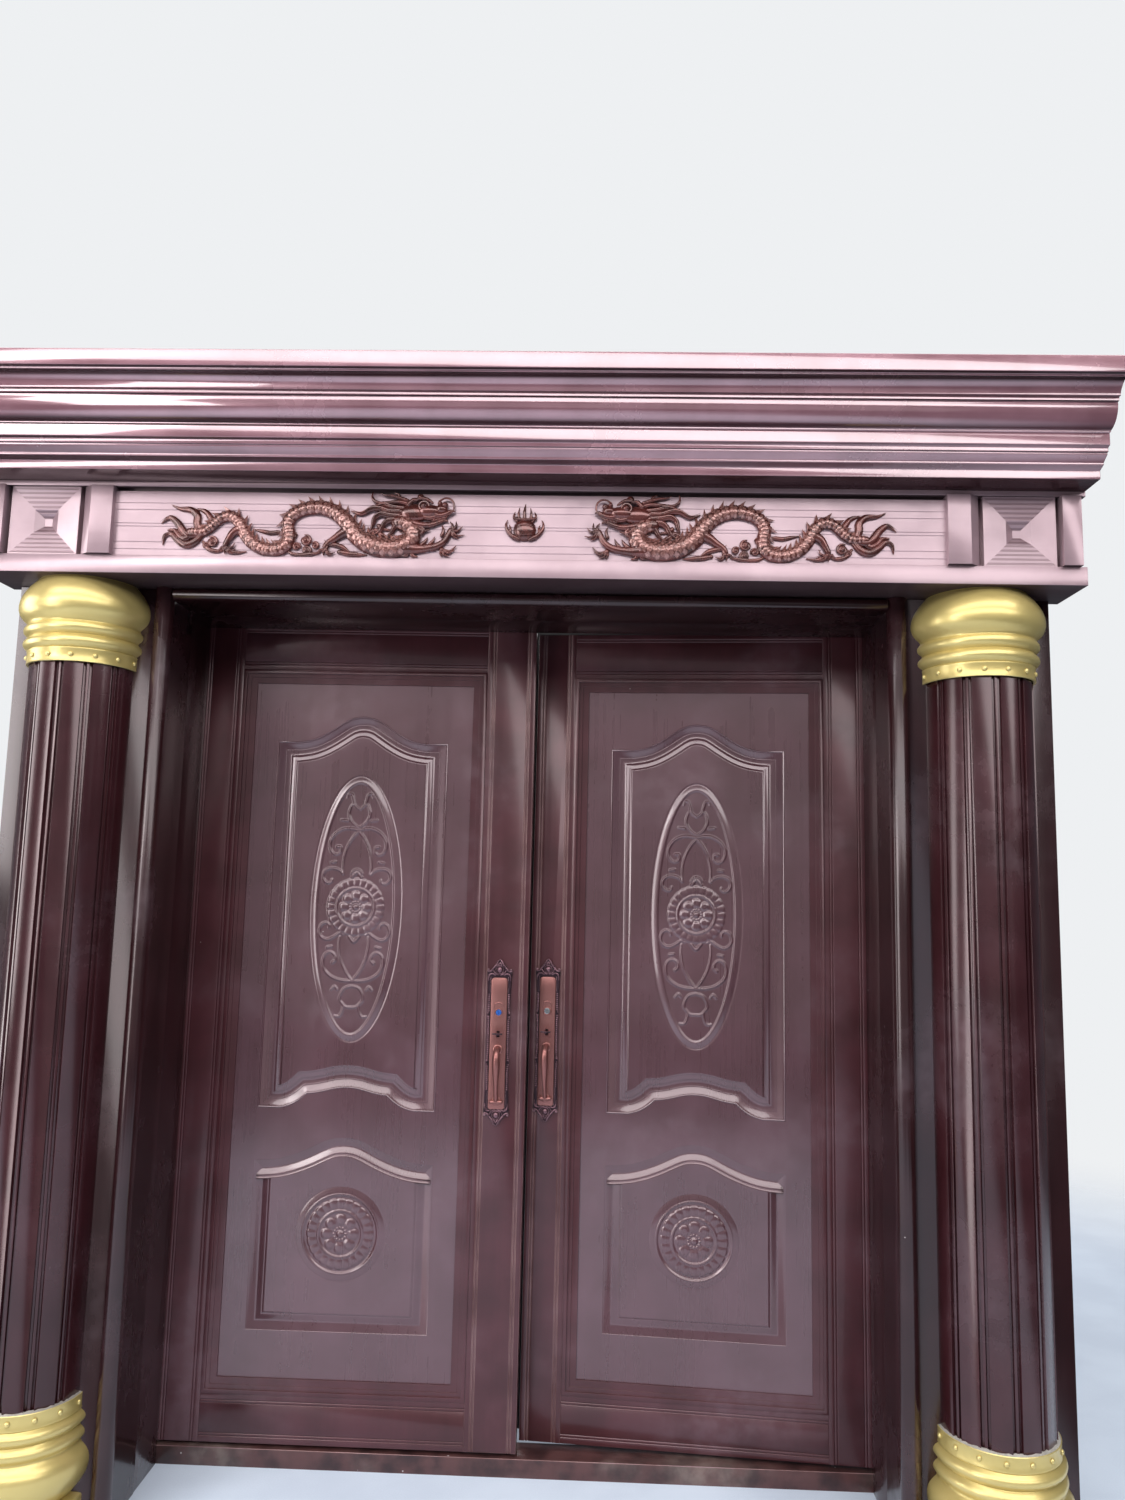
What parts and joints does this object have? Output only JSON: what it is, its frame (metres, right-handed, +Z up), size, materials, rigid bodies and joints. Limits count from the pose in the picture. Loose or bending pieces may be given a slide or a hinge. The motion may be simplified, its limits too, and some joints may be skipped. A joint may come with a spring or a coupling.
{
  "type": "carved double temple door",
  "caption": "Double entry door of painted steel with pressed panels, in a deep frame with half-round fluted columns, a dragon frieze and a stepped cornice.",
  "frame": {"origin": "on the floor in the middle of the doorway, in the front plane of the closed leaves, on the underside of the threshold", "axes": "+X to the right seen from outside, +Y into the building, +Z up; the front faces -Y"},
  "size_m": [2.8, 0.8979, 2.8],
  "materials": {
    "door_paint": "satin, dark red-brown baked paint",
    "panel_paint": "satin, dark purplish-brown baked paint",
    "casing_paint": "satin, dark purplish-brown baked paint, dusty",
    "column_paint": "satin purplish-brown paint",
    "header_paint": "semi-gloss red-brown metallic paint",
    "cornice_paint": "high gloss dark red-brown paint",
    "gold_paint": "satin antique gold paint",
    "carving_copper": "dark patina, rubbed bright on the high spots",
    "handle_bronze": "dark bronze plating",
    "handle_copper": "satin antique copper",
    "lock_steel": "brushed",
    "hinge_steel": "satin, painted with the leaf",
    "threshold_metal": "worn satin paint with a bare front edge"
  },
  "bodies": {
    "frame": {"threshold": "threshold_metal", "head_stop": "door_paint", "frame_head": "door_paint", "head_casing": "casing_paint", "column_studs": "gold_paint", "ledge": "header_paint", "header_box": "header_paint", "frieze_board": "header_paint", "frieze_strips": "header_paint", "frieze_bead": "header_paint", "capitals": "gold_paint", "bases": "gold_paint", "pearl": "carving_copper", "cornice_lower": "cornice_paint", "cornice_middle": "cornice_paint", "cornice_upper": "cornice_paint", "frame_hinges": "hinge_steel", "left_jamb": "door_paint", "right_jamb": "door_paint", "left_casing": "casing_paint", "right_casing": "casing_paint", "left_facing_board": "casing_paint", "right_facing_board": "casing_paint", "left_column": "column_paint", "right_column": "column_paint", "left_corner_block": "header_paint", "right_corner_block": "header_paint", "left_dragon": "carving_copper", "right_dragon": "carving_copper"},
    "left_leaf": {"left_hinge_stile": "door_paint", "left_meeting_stile": "door_paint", "left_rails": "door_paint", "left_panel_moulding": "panel_paint", "left_pressed_panel": "panel_paint", "left_back_panel": "panel_paint", "left_hinge_leaves": "hinge_steel", "left_handle_plate": "handle_bronze", "left_pull_grip": "handle_copper", "left_inside_handle": "handle_bronze", "left_thumb_piece": "handle_copper", "left_cylinder_plug": "lock_steel"},
    "right_leaf": {"right_hinge_stile": "door_paint", "right_meeting_stile": "door_paint", "right_rails": "door_paint", "right_panel_moulding": "panel_paint", "right_pressed_panel": "panel_paint", "right_back_panel": "panel_paint", "right_hinge_leaves": "hinge_steel", "right_handle_plate": "handle_bronze", "right_pull_grip": "handle_copper", "right_inside_handle": "handle_bronze", "right_lock_case": "lock_steel"},
    "right_thumb": {"right_thumb_piece": "handle_copper"},
    "right_plug": {"right_cylinder_plug": "lock_steel"},
    "latch": {"right_latch_bolt": "lock_steel"},
    "dead_bolt": {"right_dead_bolt": "lock_steel"},
    "top_shoot_bolt": {"left_top_shoot_bolt": "lock_steel"},
    "bottom_shoot_bolt": {"left_bottom_shoot_bolt": "lock_steel"}
  },
  "joints": [
    {"name": "left_swing", "type": "hinge", "parent": "frame", "child": "left_leaf", "pos_m": [-0.968, 0.0645, 1.15], "axis": [0, 0, 1], "range_deg": [0, 90]},
    {"name": "right_swing", "type": "hinge", "parent": "frame", "child": "right_leaf", "pos_m": [0.968, 0.0645, 1.15], "axis": [0, 0, -1], "range_deg": [-4.4, 85.6]},
    {"name": "thumb_press", "type": "hinge", "parent": "right_leaf", "child": "right_thumb", "pos_m": [0.06536, 0.06475, 1.15], "axis": [0.9971, -0.0767, 0], "range_deg": [0, 15], "stiffness_Nm_per_rad": 0.3},
    {"name": "key_turn", "type": "hinge", "parent": "right_leaf", "child": "right_plug", "pos_m": [0.06494, 0.05927, 1.207], "axis": [-0.0767, -0.9971, 0], "range_deg": [0, 90]},
    {"name": "dead_bolt_throw", "type": "slide", "parent": "right_leaf", "child": "dead_bolt", "axis": [-0.9971, 0.0767, 0], "range_m": [0, 0.02]},
    {"name": "latch_throw", "type": "slide", "parent": "right_leaf", "child": "latch", "axis": [-0.9971, 0.0767, 0], "range_m": [0, 0.012]},
    {"name": "top_bolt_throw", "type": "slide", "parent": "left_leaf", "child": "top_shoot_bolt", "axis": [0, 0, 1], "range_m": [0, 0.018]},
    {"name": "bottom_bolt_throw", "type": "slide", "parent": "left_leaf", "child": "bottom_shoot_bolt", "axis": [0, 0, -1], "range_m": [0, 0.018]}
  ],
  "couplings": [
    {"joint": "dead_bolt_throw", "follows": "key_turn", "m_per_rad": 0.012732}
  ]
}
